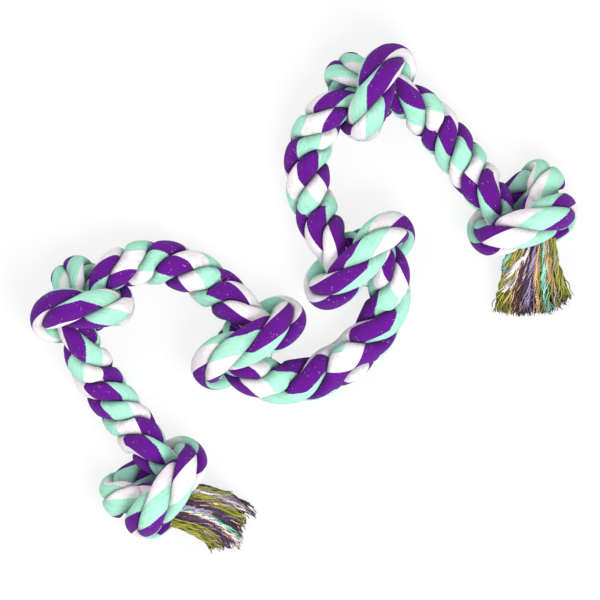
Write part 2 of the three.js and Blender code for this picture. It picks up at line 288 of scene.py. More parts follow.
# One yarn: steps along it, corners round it, the waves of its kinks, how much they lift it, how far its tip
# strays, and the share of its thickness that it loses at the tip.
YARN_STEPS = 28
YARN_CORNERS = 5
KINK_WAVES = (14, 26)
KINK_LIFT = 0.5
TIP_STRAY = 0.001
TIP_TAPER = 0.35
# The tones of a yarn, and the painted shade and highlight that follow its height in the cord, from
# deep inside to the top.
YARN_TONES = (0.8, 1.2)
PAINTED_SHADE_BY_RISE = ((-0.7, 0.2, 0.9), (0.14, 0.7, 1.65))
# The share of yarns with a dye that isn't their cord's, and those dyes.
OTHER_SHARE = 0.08
OTHER_DYES = (OLIVE, TAN, BROWN, LILAC)
# Loose threads: waves, curls across the fan and along it, height, lift above it, tone and thickness in yarns.
LOOSE_WAVES = (6, 12)
LOOSE_CURL = (0.05, 0.03)
LOOSE_ROW = 1.4
LOOSE_LIFT = 0.001
LOOSE_TONE = 1.2
LOOSE_THICKNESS = 0.4
# How the yarns fall: the share of the length that this takes, how the root rounds off across the fan and what
# stays at its edges, where the middle layer ends in the tips' height and how far apart the layers end, and
# the least height above the floor in yarn thicknesses.
FALL_SHARE = 0.8
ROOT_ROUNDING = 0.85
ROOT_EDGE = 0.08
TIP_MIDDLE = 0.5
TIP_LAYER = 0.42
FLOOR_CLEARANCE = 0.6

# Lamps of the stage: name, place before the picture is turned, size and power.
LAMPS = (("Key", (0.7, -0.9, 1.7), 1.0, 32), ("Fill", (-1.2, 0.8, 1.6), 1.6, 9))
# The picture's centre, the floor's size, the lens in millimetres and how far the camera sees.
PICTURE_CENTRE = (-0.0018, -0.0036, 0.03)
FLOOR_SIZE = 8
LENS_LENGTH = 300
VIEW_END = 50


def length_setting(name, description, default, **limits):
    return FloatProperty(name=name, description=description, default=default, unit="LENGTH", **limits)


def angle_settings(name, description, right, left):
    """Two angles in degrees, for the right tassel and the left one."""
    default = (math.radians(right), math.radians(left))
    return FloatVectorProperty(name=name, description=description, size=2, unit="ROTATION", default=default)


def colour_setting(name, description, *rgb):
    return FloatVectorProperty(
        name=name, description=description, size=4, subtype="COLOR", default=(*rgb, 1)
    )


class RopeSizes(PropertyGroup):
    diameter: length_setting("Diameter", "Across the free rope", 0.0366, min=0.005)
    lay_length: length_setting("Lay length", "One turn of the strands in the free rope", 0.062, min=0.01)
    groove_depth: FloatProperty(
        name="Groove depth",
        description="Depth of the grooves between strands, in rope radii",
        default=0.36,
        min=0.05,
        max=0.8,
    )
    strand_corners: IntProperty(
        name="Strand corners", description="Points round a strand", default=36, min=8, max=96
    )
    dye_turns: FloatProperty(
        name="Dye turns", description="Turns of a strand's colours against each turn of the rope", default=2
    )


class StrandColours(PropertyGroup):
    purple: colour_setting("Purple", "Purple cotton", 0.125, 0.005, 0.26)
    mint: colour_setting("Mint", "Mint cotton", 0.41, 0.81, 0.63)
    white: colour_setting("White", "White cotton", 0.92, 0.87, 0.9)


class TasselSizes(PropertyGroup):
    length: length_setting("Length", "From the rope's end to the tips", 0.054, min=0.01)
    lead: length_setting("Lead", "How far the yarns start inside the knot", 0.01)
    lean: angle_settings("Lean", "How far the tips lean outwards, right and left", 9, 22)
    spread: angle_settings("Spread", "Angle of the fan, right and left", 34, 18)
    root_width: length_setting("Root width", "Width where the yarns leave the rope", 0.042)
    root_thickness: length_setting("Root thickness", "Height where the yarns leave the rope", 0.02)
    tip_thickness: length_setting("Tip thickness", "Height of the yarns at the tips", 0.013)
    yarn_thickness: length_setting("Yarn thickness", "Across one loose yarn", 0.0011, min=0.0003)
    kink: length_setting("Kink", "How far a yarn waves to either side", 0.0005)
    yarns: IntProperty(name="Yarns", description="Loose yarns in each cord", default=15, min=3, max=60)


class TasselColours(PropertyGroup):
    olive: colour_setting("Olive", "Olive yarn", 0.25, 0.245, 0.034)
    tan: colour_setting("Tan", "Tan yarn", 0.5, 0.3, 0.16)
    plum: colour_setting("Plum", "Dark purple yarn", 0.055, 0.022, 0.1)
    lilac: colour_setting("Lilac", "Lilac yarn", 0.34, 0.28, 0.43)
    mint: colour_setting("Mint", "Mint yarn", 0.2, 0.5, 0.4)
    cream: colour_setting("Cream", "Undyed yarn", 0.66, 0.57, 0.61)
    brown: colour_setting("Brown", "Dark brown yarn", 0.07, 0.034, 0.03)


class StageSettings(PropertyGroup):
    frame_width: length_setting("Frame width", "Width of the picture at the toy", 0.48)
    turn: FloatProperty(
        name="Turn",
        description="Turn of the picture about the upright axis",
        default=math.radians(-36.622),
        subtype="ANGLE",
    )
    floor: colour_setting("Floor", "Pale floor", 0.85, 0.85, 0.86)


# Route of the rope


def press_axis(points, diameter):
    """The line through a knot, square to its top wrap, that the wrapped passes are pressed towards."""
    wraps = [np.array(point[1:4]) for point in points if point[0] is WRAP]
    if not wraps:
        return None
    along = wraps[-1] - wraps[0]
    direction = np.array((-along[1], along[0], 0))
    centre = np.array((wraps[1][0], wraps[1][1], KNOT_CORE_HEIGHT)) * diameter
    return centre, direction / np.linalg.norm(direction)


def ear_centre(points, diameter):
    """The middle of the ear that sticks out of a knot, where the rope turns back on itself."""
    ends = [np.array(point[1:4]) for point in points if point[0] in (EAR, FOLD)]
    return (ends[0] + ends[-1]) / 2 * diameter if ends else None


def on_plane(vector, normal):
    """The direction of a vector after it is laid flat on the plane with this normal."""
    flat = vector - normal * vector.dot(normal)
    return flat / np.linalg.norm(flat)


def press_out(place, kind, axis, ear):
    """Which way the rope is pressed flat: away from its ear, away from the line through its knot, or up."""
    if kind in (EAR, FOLD):
        out = place - ear
    elif axis:
        out = on_plane(place - axis[0], axis[1])
    else:
        out = np.array((0.0, 0.0, 1.0))
    return out / np.linalg.norm(out)


def curve_point(points, parameter):
    """Place and direction on the smooth curve through the points."""
    index = min(int(parameter), len(points) - 2)
    share = parameter - index
    one, two = points[index], points[index + 1]
    before = points[index - 1] if index > 0 else 2 * one - two
    after = points[index + 2] if index + 2 < len(points) else 2 * two - one
    steps = [math.sqrt(np.linalg.norm(b - a)) for a, b in ((before, one), (one, two), (two, after))]
    leave = (one - before) / steps[0] - (two - before) / (steps[0] + steps[1]) + (two - one) / steps[1]
    arrive = (two - one) / steps[1] - (after - one) / (steps[1] + steps[2]) + (after - two) / steps[2]
    leave, arrive = leave * steps[1], arrive * steps[1]
    second = -3 * one + 3 * two - 2 * leave - arrive
    third = 2 * one - 2 * two + leave + arrive
    place = one + leave * share + second * share**2 + third * share**3
    direction = leave + 2 * second * share + 3 * third * share**2
    return place, direction / np.linalg.norm(direction)


def marked_turns(points, column):
    """Positions along the route and angles there, of the points that give a number in the column."""
    marks = [(index, FULL_TURN * point[column]) for index, point in enumerate(points) if len(point) > column]
    return list(zip(*marks))


def smoothed(share):
    """A share from 0 to 1 that starts and ends gently."""
    return share**2 * (3 - 2 * share)


def sample_rope(sizes):
    """Fine samples of the right half: places, frames, pressed sizes, the turn of the lay and of the dyes."""
    radius = sizes.diameter / 2
    points = [point for piece in ROUTE.values() for point in piece]
    owners = [name for name, piece in ROUTE.items() for _ in piece]
    axes = {name: press_axis(piece, sizes.diameter) for name, piece in ROUTE.items()}
    ears = {name: ear_centre(piece, sizes.diameter) for name, piece in ROUTE.items()}
    places = [np.array(point[1:4]) * sizes.diameter for point in points]
    places.insert(0, places[1] * MIRROR)
    twists, dyes = marked_turns(points, TWIST_COLUMN), marked_turns(points, DYE_COLUMN)
    samples = []
    normal = np.array((0.0, 0.0, 1.0))
    length = lay = 0.0
    for step in range((len(points) - 1) * SAMPLES_PER_POINT + 1):
        index = min(step // SAMPLES_PER_POINT, len(points) - 2)
        share = step / SAMPLES_PER_POINT - index
        place, tangent = curve_point(places, 1 + step / SAMPLES_PER_POINT)
        section = [(1 - share) * a + share * b for a, b in zip(points[index][0], points[index + 1][0])]
        width, thickness, lay_stretch = section
        owner = owners[index if share < 0.5 else index + 1]
        if samples:
            gone = np.linalg.norm(place - samples[-1]["place"])
            length += gone
            lay += FULL_TURN * gone * smoothed(min(length / radius, 1)) / (lay_stretch * sizes.lay_length)
        turn = lay + np.interp(index + share, *twists)
        normal = on_plane(normal, tangent)
        outs = [press_out(place, point[0], axes[owner], ears[owner]) for point in points[index : index + 2]]
        samples.append(
            {
                "place": place,
                "normal": normal,
                "side": np.cross(tangent, normal),
                "press": on_plane((1 - share) * outs[0] + share * outs[1], tangent),
                "width": width * radius,
                "thickness": thickness * radius,
                "turn": turn,
                "dye": sizes.dye_turns * turn + np.interp(index + share, *dyes),
                "piece": owner,
            }
        )
    return {key: np.array([sample[key] for sample in samples]) for key in samples[0]}


def cut_piece(samples, name):
    """The samples of one piece, up to and including the first of the next piece."""
    own = np.flatnonzero(samples["piece"] == name)
    last = min(own[-1] + 1, len(samples["piece"]) - 1)
    picks = list(range(own[0], last + 1, RING_EVERY))
    if picks[-1] != last:
        picks.append(last)
    return {key: value[picks] for key, value in samples.items() if key != "piece"}


def mirrored(samples):
    return {key: value * MIRROR if value.ndim == 2 else value for key, value in samples.items()}


def joined_about_middle(samples):
    left = mirrored(samples)
    return {key: np.concatenate((left[key][:0:-1], samples[key])) for key in samples}


def both_halves(samples, name):
    own = cut_piece(samples, name)
    return (("right", own), ("left", mirrored(own)))


# Node helpers


def set_inputs(tree, node, inputs):
    """Links a node's inputs from sockets, or sets them to values."""
    for key, value in dict(inputs).items():
        if isinstance(value, bpy.types.NodeSocket):
            tree.links.new(value, node.inputs[key])
        else:
            node.inputs[key].default_value = value


def add_node(tree, kind, inputs=(), **settings):
    node = tree.nodes.new(kind)
    for key, value in settings.items():
        setattr(node, key, value)
    set_inputs(tree, node, inputs)
    return node


def calc(tree, operation, *values):
    return add_node(tree, "ShaderNodeMath", enumerate(values), operation=operation).outputs[0]


def vector_calc(tree, operation, *values):
    node = add_node(tree, "ShaderNodeVectorMath", enumerate(values), operation=operation)
    return node.outputs["Value" if operation == "DOT_PRODUCT" else "Vector"]


def scaled(tree, vector, factor):
    node = add_node(tree, "ShaderNodeVectorMath", {0: vector, "Scale": factor}, operation="SCALE")
    return node.outputs["Vector"]


def parted(tree, vector):
    return add_node(tree, "ShaderNodeSeparateXYZ", {0: vector}).outputs


def combined(tree, *parts):
    return add_node(tree, "ShaderNodeCombineXYZ", enumerate(parts)).outputs[0]


def named(tree, name, data_type="FLOAT"):
    """An attribute of the points, for a geometry tree."""
    node = add_node(tree, "GeometryNodeInputNamedAttribute", {"Name": name}, data_type=data_type)
    return node.outputs["Attribute"]


def stored(tree, geometry, name, value, data_type="FLOAT"):
    """The geometry with one more attribute of its points."""
    node = add_node(
        tree,
        "GeometryNodeStoreNamedAttribute",
        {"Geometry": geometry, "Name": name, "Value": value},
        data_type=data_type,
        domain="POINT",
    )
    return node.outputs[0]


def new_geometry_tree(name, inputs):
    tree = bpy.data.node_groups.new(name, "GeometryNodeTree")
    tree.interface.new_socket("Geometry", in_out="INPUT", socket_type="NodeSocketGeometry")
    for label, kind in inputs.items():
        tree.interface.new_socket(label, in_out="INPUT", socket_type=f"NodeSocket{kind}")
    tree.interface.new_socket("Geometry", in_out="OUTPUT", socket_type="NodeSocketGeometry")
    return tree, tree.nodes.new("NodeGroupInput").outputs


def close_geometry_tree(tree, geometry, material):
    """Every tree ends in smooth, realized geometry with its material."""
    smooth = add_node(tree, "GeometryNodeSetShadeSmooth", {"Geometry": geometry})
    real = add_node(tree, "GeometryNodeRealizeInstances", {"Geometry": smooth.outputs[0]})
    painted = add_node(tree, "GeometryNodeSetMaterial", {"Geometry": real.outputs[0], "Material": material})
    add_node(tree, "NodeGroupOutput", {"Geometry": painted.outputs[0]})


def swept_tube(tree, given, **more):
    """A closed tube along the given line, whose points carry their angle round it as the attribute round."""
    line = add_node(tree, "GeometryNodeMeshToCurve", {"Mesh": given["Geometry"]})
    circle = add_node(tree, "GeometryNodeCurvePrimitiveCircle", {"Resolution": given["Corners"]})
    corner = tree.nodes.new("GeometryNodeInputIndex").outputs[0]
    angle = calc(tree, "MULTIPLY", calc(tree, "DIVIDE", corner, given["Corners"]), FULL_TURN)
    profile = stored(tree, circle.outputs[0], "round", angle)
    inputs = {"Curve": line.outputs[0], "Profile Curve": profile, "Fill Caps": True, **more}
    return add_node(tree, "GeometryNodeCurveToMesh", inputs).outputs[0]


def strand_tree(name):
    """Sweeps one strand along the rope's samples: its lay, its pressed section and the angle of its dye."""
    tree, given = new_geometry_tree(
        name, {"Strand angle": "Float", "Groove depth": "Float", "Corners": "Int", "Material": "Material"}
    )
    tube = swept_tube(tree, given)

    around = calc(tree, "WRAP", named(tree, "round"), math.pi, -math.pi)
    share = calc(tree, "DIVIDE", calc(tree, "ABSOLUTE", around), math.pi)
    outside = calc(tree, "MINIMUM", calc(tree, "DIVIDE", share, OUTSIDE_SHARE), 1.0)
    half_angle = calc(tree, "MULTIPLY", outside, STRAND_HALF_ANGLE)
    lean = calc(tree, "MULTIPLY", calc(tree, "SIGN", around), half_angle)
    crown, flank = (
        calc(tree, "MULTIPLY", calc(tree, "POWER", outside, power), weight)
        for weight, power in (CROWN_FALL, FLANK_FALL)
    )
    fall = calc(tree, "MULTIPLY", calc(tree, "ADD", crown, flank), given["Groove depth"])
    inside = calc(tree, "DIVIDE", calc(tree, "SUBTRACT", 1.0, share), 1.0 - OUTSIDE_SHARE)
    reach = calc(tree, "MULTIPLY", calc(tree, "SUBTRACT", 1.0, fall), calc(tree, "MINIMUM", inside, 1.0))
    turn = calc(tree, "ADD", named(tree, "rope_turn"), given["Strand angle"])
    angle = calc(tree, "ADD", turn, lean)

    def spoke_part(axis, operation):
        part = calc(tree, "MULTIPLY", reach, calc(tree, operation, angle))
        return scaled(tree, named(tree, axis, "FLOAT_VECTOR"), part)

    spoke = vector_calc(tree, "ADD", spoke_part("rope_normal", "COSINE"), spoke_part("rope_side", "SINE"))
    press = named(tree, "rope_press", "FLOAT_VECTOR")
    width = named(tree, "rope_width")
    flatter = calc(tree, "SUBTRACT", named(tree, "rope_thickness"), width)
    pressed = calc(tree, "MULTIPLY", vector_calc(tree, "DOT_PRODUCT", spoke, press), flatter)
    offset = vector_calc(tree, "ADD", scaled(tree, spoke, width), scaled(tree, press, pressed))
    place = parted(tree, vector_calc(tree, "ADD", named(tree, "rope_place", "FLOAT_VECTOR"), offset))
    rested = combined(tree, place[0], place[1], calc(tree, "MAXIMUM", place[2], 0.0))

    dye = calc(tree, "ADD", named(tree, "rope_dye"), calc(tree, "ADD", around, given["Strand angle"]))
    twist = combined(tree, calc(tree, "COSINE", dye), calc(tree, "SINE", dye), named(tree, "rope_along"))
    dyed = stored(tree, tube, "twist", twist, "FLOAT_VECTOR")
    # Keeps the share towards the grooves for the painted shade there.
    groove_shaded = stored(tree, dyed, "groove", outside)
    moved = add_node(tree, "GeometryNodeSetPosition", {"Geometry": groove_shaded, "Position": rested})
    close_geometry_tree(tree, moved.outputs[0], given["Material"])
    return tree


def yarn_tree(name):
    """Sweeps the loose yarns of a tassel along their lines, thinner towards the tips."""
    tree, given = new_geometry_tree(name, {"Thickness": "Float", "Corners": "Int", "Material": "Material"})
    half = calc(tree, "MULTIPLY", given["Thickness"], 0.5)
    tube = swept_tube(tree, given, Scale=calc(tree, "MULTIPLY", half, named(tree, "yarn_full")))
    close_geometry_tree(tree, tube, given["Material"])
    return tree


def line_mesh(name, counts, places, attributes):
    """A mesh of open lines with so many points each; attributes give a number or vector for each point."""
    mesh = bpy.data.meshes.new(name)
    edges = []
    first = 0
    for count in counts:
        edges.extend((point, point + 1) for point in range(first, first + count - 1))
        first += count
    mesh.from_pydata(places.tolist(), edges, [])
    for key, values in attributes.items():
        kind, member = ("FLOAT_VECTOR", "vector") if values.ndim == 2 else ("FLOAT", "value")
        layer = mesh.attributes.new(key, kind, "POINT")
        layer.data.foreach_set(member, values.astype(np.float32).ravel())
    return mesh


def grown_piece(name, mesh, tree, values):
    """Runs a node tree on the mesh and keeps its result as a plain mesh piece."""
    line = bpy.data.objects.new(f"{name}_line", mesh)
    bpy.context.scene.collection.objects.link(line)
    modifier = line.modifiers.new(tree.name, "NODES")
    modifier.node_group = tree
    for item in tree.interface.items_tree:
        if item.in_out == "INPUT" and item.name in values:
            modifier[item.identifier] = values[item.name]
    line.update_tag()
    depsgraph = bpy.context.evaluated_depsgraph_get()
    grown = bpy.data.meshes.new_from_object(line.evaluated_get(depsgraph))
    bpy.data.objects.remove(line)
    if len(grown.polygons) == 0:
        raise RuntimeError(f"{name} has no faces")
    grown.name = name
    piece = bpy.data.objects.new(name, grown)
    bpy.context.scene.collection.objects.link(piece)
    return piece


def turn_outwards(piece, centre_name):
    """Turns the faces so that they point away from the line that the piece was swept along."""
    mesh = piece.data
    places, normals, centres = (np.empty(len(mesh.vertices) * 3, np.float32) for _ in range(3))
    mesh.vertices.foreach_get("co", places)
    mesh.vertex_normals.foreach_get("vector", normals)
    mesh.attributes[centre_name].data.foreach_get("vector", centres)
    if ((places - centres) * normals).sum() < 0:
        mesh.flip_normals()


# Materials

WHITE = (1, 1, 1, 1)
# Sockets of a colour mix, which has several of the same name.
MIX_FACTOR, MIX_ONE, MIX_TWO = 0, 6, 7
MIX_RESULT = 2
# The yarns that show round a strand, how far they stray, the length of one turn of their plies, and how much
# the plies show in them.
YARNS_ROUND = 46
YARN_WANDER = 3.0
PLY_LENGTH = 0.0014
PLIES_IN_YARNS = 0.35
# Scales of the strands' patterns: repeats in a metre, and for the fibres round the strand and along it.
WANDER_SCALE = 420.0
MOTTLE_SCALE = 90.0
FIBRE_SCALES = (9.0, 9.0, 110.0)
# Where a spot lies in the three dyes, in turns of the strand: its angle, and how far the edges stray.
DYE_MIDDLE = 0.5
DYE_WEIGHTS = {"angle": 1 / FULL_TURN, "wander": 0.02, "plies": 0.005}
# The strands' shade and relief, from their patterns. The yarns are painted a little darker in their valleys,
# and the groove is painted shade that darkens only deep inside the grooves between strands.
STRAND_SHADE = 0.6
STRAND_SHADE_WEIGHTS = {"mottle": 0.34, "fibres": 0.64, "yarns": 0.06, "groove": -0.38}
STRAND_RELIEF_WEIGHTS = {"yarns": 0.4, "fibres": 1.8, "mottle": 1.2}
GROOVE_SHADE_POWER = 3.0
# Lint: scale and size of the specks, scale of the patches that have them, how rare those are, and its cover.
SPECK_SCALE = 520.0
SPECK_SIZE = 0.2
LINT_SCALE = 160.0
LINT_RARITY = 0.57
LINT_COVER = 0.35
# The tassels' yarns: plies in a yarn, their turn in radians a metre, scale of the mottle, and the shade, in
# which the plies are painted darker in their valleys.
TASSEL_PLIES = 2.0
TASSEL_PLY_TURN = 3400.0
TASSEL_MOTTLE_SCALE = 260.0
TASSEL_SHADE = 0.8
TASSEL_SHADE_WEIGHTS = {"plies": 0.42, "mottle": 0.5}
# The floor's grain, the share of it that glows so that it looks white, and the light of the room.
GRAIN_SCALE = 60.0
GRAIN = 0.02
FLOOR_GLOW = 0.82
ROOM_LIGHT = 0.6


def new_material(name):
    material = bpy.data.materials.new(name)
    material.use_nodes = True
    tree = material.node_tree
    return material, tree, tree.nodes["Principled BSDF"]


def object_place(tree):
    return add_node(tree, "ShaderNodeTexCoord").outputs["Object"]


def attribute(tree, name, output="Fac"):
    return add_node(tree, "ShaderNodeAttribute", attribute_name=name).outputs[output]


def mixed(tree, factor, one, two):
    inputs = {MIX_FACTOR: factor, MIX_ONE: one, MIX_TWO: two}
    return add_node(tree, "ShaderNodeMix", inputs, data_type="RGBA").outputs[MIX_RESULT]


def colour_bands(tree, factor, colours):
    """Bands of plain colours, each of the same width."""
    node = add_node(tree, "ShaderNodeValToRGB", {0: factor})
    node.color_ramp.interpolation = "CONSTANT"
    elements = node.color_ramp.elements
    while len(elements) < len(colours):
        elements.new(0.5)
    for index, colour in enumerate(colours):
        elements[index].position = index / len(colours)
        elements[index].color = colour
    return node.outputs[0]


def noise(tree, vector, scale, detail=2.0):
    node = add_node(tree, "ShaderNodeTexNoise", {"Vector": vector, "Scale": scale, "Detail": detail})
    return node.outputs[0]


def weighted(tree, base, patterns, weights):
    """The base plus the named patterns, each times its weight."""
    total = base
    for name, weight in weights.items():
        total = calc(tree, "MULTIPLY_ADD", patterns[name], weight, total)
    return total


def strand_material(name, colours):
    """Three dyed thirds round the strand, fine yarns along it, lint on them, and painted shade in grooves."""
    material, tree, shader = new_material(name)
    place = object_place(tree)
    twist = parted(tree, attribute(tree, "twist", "Vector"))
    angle = calc(tree, "ARCTAN2", twist[1], twist[0])
    wander = calc(tree, "SUBTRACT", noise(tree, place, WANDER_SCALE), 0.5)
    plies = calc(tree, "SINE", calc(tree, "MULTIPLY", twist[2], FULL_TURN / PLY_LENGTH))
    lines = calc(tree, "MULTIPLY_ADD", angle, YARNS_ROUND, calc(tree, "MULTIPLY", wander, YARN_WANDER))
    stretched = [calc(tree, "MULTIPLY", part, scale) for part, scale in zip(twist, FIBRE_SCALES)]
    patterns = {
        "angle": angle,
        "wander": wander,
        "plies": plies,
        # The yarn lines and plies, also painted a little darker in their valleys as shade.
        "yarns": calc(tree, "MULTIPLY_ADD", plies, PLIES_IN_YARNS, calc(tree, "SINE", lines)),
        "fibres": noise(tree, combined(tree, *stretched), 1.0, detail=4.0),
        "mottle": noise(tree, place, MOTTLE_SCALE, detail=3.0),
        # Painted shade, deep in the grooves between strands.
        "groove": calc(tree, "POWER", attribute(tree, "groove"), GROOVE_SHADE_POWER),
    }
    share = weighted(tree, DYE_MIDDLE, patterns, DYE_WEIGHTS)
    dye = colour_bands(tree, share, (colours.purple, colours.mint, colours.white))
    toned_and_shaded = scaled(tree, dye, weighted(tree, STRAND_SHADE, patterns, STRAND_SHADE_WEIGHTS))

    cells = add_node(tree, "ShaderNodeTexVoronoi", {"Vector": place, "Scale": SPECK_SCALE})
    specks = calc(tree, "LESS_THAN", cells.outputs["Distance"], SPECK_SIZE)
    patches = calc(tree, "GREATER_THAN", noise(tree, place, LINT_SCALE), LINT_RARITY)
    lint = calc(tree, "MULTIPLY", calc(tree, "MULTIPLY", specks, patches), LINT_COVER)
    linted = mixed(tree, lint, toned_and_shaded, colours.white)

    relief = weighted(tree, 0.0, patterns, STRAND_RELIEF_WEIGHTS)
    bump = add_node(tree, "ShaderNodeBump", {"Height": relief, "Strength": 0.6, "Distance": 0.0006})
    finish = {
        "Base Color": linted,
        "Normal": bump.outputs[0],
        "Roughness": 0.92,
        "Specular IOR Level": 0.2,
        "Sheen Weight": 0.06,
        "Sheen Roughness": 0.5,
    }
    set_inputs(tree, shader, finish)
    return material


def tassel_material(name, colours):
    """Loose yarns, each of one colour, with the turns of its plies, painted darker in their valleys as shade.
    """
    material, tree, shader = new_material(name)
    dyes = [getattr(colours, dye) for dye in TASSEL_DYES]
    colour = colour_bands(tree, attribute(tree, "yarn_dye"), dyes)
    turn = calc(tree, "MULTIPLY", attribute(tree, "round"), TASSEL_PLIES)
    turn = calc(tree, "MULTIPLY_ADD", attribute(tree, "yarn_along"), TASSEL_PLY_TURN, turn)
    plies = calc(tree, "SINE", turn)
    patterns = {"plies": plies, "mottle": noise(tree, object_place(tree), TASSEL_MOTTLE_SCALE, detail=3.0)}
    # Painted shade: the plies darken the colour in their valleys.
    shade = weighted(tree, TASSEL_SHADE, patterns, TASSEL_SHADE_WEIGHTS)
    bump = add_node(tree, "ShaderNodeBump", {"Height": plies, "Strength": 0.5, "Distance": 0.0003})
    # The yarn's tone carries its random tone and painted shade and highlight from its height in the cord.
    finish = {
        "Base Color": scaled(tree, colour, calc(tree, "MULTIPLY", shade, attribute(tree, "yarn_tone"))),
        "Normal": bump.outputs[0],
        "Roughness": 0.95,
        "Specular IOR Level": 0.15,
        "Sheen Weight": 0.2,
    }
    set_inputs(tree, shader, finish)
    return material


def seen_by_camera(tree):
    """One where a surface is seen straight, in a mirror or through glass."""
    path = add_node(tree, "ShaderNodeLightPath").outputs
    seen = calc(tree, "MAXIMUM", path["Is Camera Ray"], path["Is Glossy Ray"])
    return calc(tree, "MAXIMUM", seen, path["Is Transmission Ray"])


def floor_material(stage):
    """A pale floor that looks white and keeps a soft shadow."""
    material, tree, shader = new_material("Pale floor")
    grain = calc(tree, "MULTIPLY_ADD", noise(tree, object_place(tree), GRAIN_SCALE), GRAIN, 1 - GRAIN / 2)
    pale = scaled(tree, stage.floor[:3], grain)
    set_inputs(tree, shader, {"Base Color": pale, "Roughness": 1.0, "Specular IOR Level": 0.0})
    glow = add_node(tree, "ShaderNodeEmission", {"Color": WHITE, "Strength": 1.0})
    factor = calc(tree, "MULTIPLY", seen_by_camera(tree), FLOOR_GLOW)
    both = add_node(tree, "ShaderNodeMixShader", {0: factor, 1: shader.outputs[0], 2: glow.outputs[0]})
    set_inputs(tree, tree.nodes["Material Output"], {"Surface": both.outputs[0]})
    return material


def pale_world():
    """A white room that lights the toy less brightly than it looks."""
    world = bpy.data.worlds.new("Pale room")
    world.use_nodes = True
    tree = world.node_tree
    strength = calc(tree, "MULTIPLY_ADD", seen_by_camera(tree), 1 - ROOM_LIGHT, ROOM_LIGHT)
    set_inputs(tree, tree.nodes["Background"], {"Color": WHITE, "Strength": strength})
    return world


def made_once(store, name, make, *details):
    """A material or tree that is already there, or else a new one."""
    return store.get(name) or make(name, *details)


# Pieces


def strand_pieces(context, name, samples):
    """The three strands of one stretch or knot, as pieces that replace its three solids."""
    sizes = context.scene.rope_sizes
    tree = made_once(bpy.data.node_groups, "Laid strand", strand_tree)
    material = made_once(
        bpy.data.materials, "Dyed cotton strand", strand_material, context.scene.strand_colours
    )
    gone = np.linalg.norm(np.diff(samples["place"], axis=0), axis=1)
    attributes = {f"rope_{key}": value for key, value in samples.items()}
    attributes["rope_along"] = np.concatenate(((0.0,), np.cumsum(gone)))
    pieces = []
    for index, strand in enumerate(STRANDS):
        piece = grown_piece(
            f"{name}_strand_{strand}",
            line_mesh(f"{name}_{strand}", [len(samples["place"])], samples["place"], attributes),
            tree,
            {
                "Strand angle": index * FULL_TURN / len(STRANDS),
                "Groove depth": sizes.groove_depth,
                "Corners": sizes.strand_corners,
                "Material": material,
            },
        )
        turn_outwards(piece, "rope_place")
        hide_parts(f"{name}_{strand}")
        pieces.append(piece)
    return pieces


class ROPETOY_OT_stretches(Operator):
    """Lay the strands of the free stretches, which bend between the knots"""

    bl_idname = "ropetoy.stretches"
    bl_label = "Free stretches"

    def execute(self, context):
        samples = sample_rope(context.scene.rope_sizes)
        runs = {"middle_stretch": joined_about_middle(cut_piece(samples, "middle_stretch"))}
        for name in ("arm_stretch", "side_stretch"):
            runs.update({f"{side}_{name}": run for side, run in both_halves(samples, name)})
        for name, run in runs.items():
            for piece in strand_pieces(context, name, run):
                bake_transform(piece)
        return {"FINISHED"}


class ROPETOY_OT_knots(Operator):
    """Lay the strands of the six overhand knots"""

    bl_idname = "ropetoy.knots"
    bl_label = "Knots"

    def execute(self, context):
        samples = sample_rope(context.scene.rope_sizes)
        for place in ("middle", "bend", "end"):
            for side, run in both_halves(samples, f"{place}_knot"):
                for piece in strand_pieces(context, f"{side}_{place}_knot", run):
                    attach(piece, f"{side}_{place}")
        return {"FINISHED"}


class Fan(NamedTuple):
    """How a tassel lies, as if it were on the right: its root, three angles and how far its tips reach."""

    root: np.ndarray
    heading: float
    spread: float
    lean: float
    reach: tuple


def fan_place(sizes, fan, across, gone):
    """Places on the floor plan of a tassel's fan, from shares across it and ways gone from the rope's end."""
    apex_distance = sizes.root_width / fan.spread
    angle = across * fan.spread / 2
    share = np.clip(gone / sizes.length, 0, 1)
    reach = (apex_distance + gone) * ((1 - share) / np.cos(angle) + share)
    ahead, aside = reach * np.cos(angle) - apex_distance, reach * np.sin(angle)
    turn = fan.heading + fan.lean * share
    x = fan.root[0] + ahead * np.cos(turn) - aside * np.sin(turn)
    y = fan.root[1] + ahead * np.sin(turn) + aside * np.cos(turn)
    return x, y


def yarn_line(sizes, fan, across, gone, layer, lift):
    """One yarn of a tassel: it leaves the rope at its layer's height and falls to the floor."""
    fall = smoothed(np.clip(gone / (FALL_SHARE * sizes.length), 0, 1))
    arch = np.sqrt(np.maximum(1 - (ROOT_ROUNDING * across) ** 2, ROOT_EDGE))
    high = fan.root[2] + layer * arch * sizes.root_thickness / 2
    low = sizes.tip_thickness * (TIP_MIDDLE + TIP_LAYER * layer)
    height = np.maximum(high + (low - high) * fall + lift, sizes.yarn_thickness * FLOOR_CLEARANCE)
    return np.column_stack((*fan_place(sizes, fan, across, gone), height))


def wave(share, waves, rng):
    """A wave along a yarn, with a random length and start."""
    return np.sin(share * rng.uniform(*waves) + rng.uniform(0, FULL_TURN))


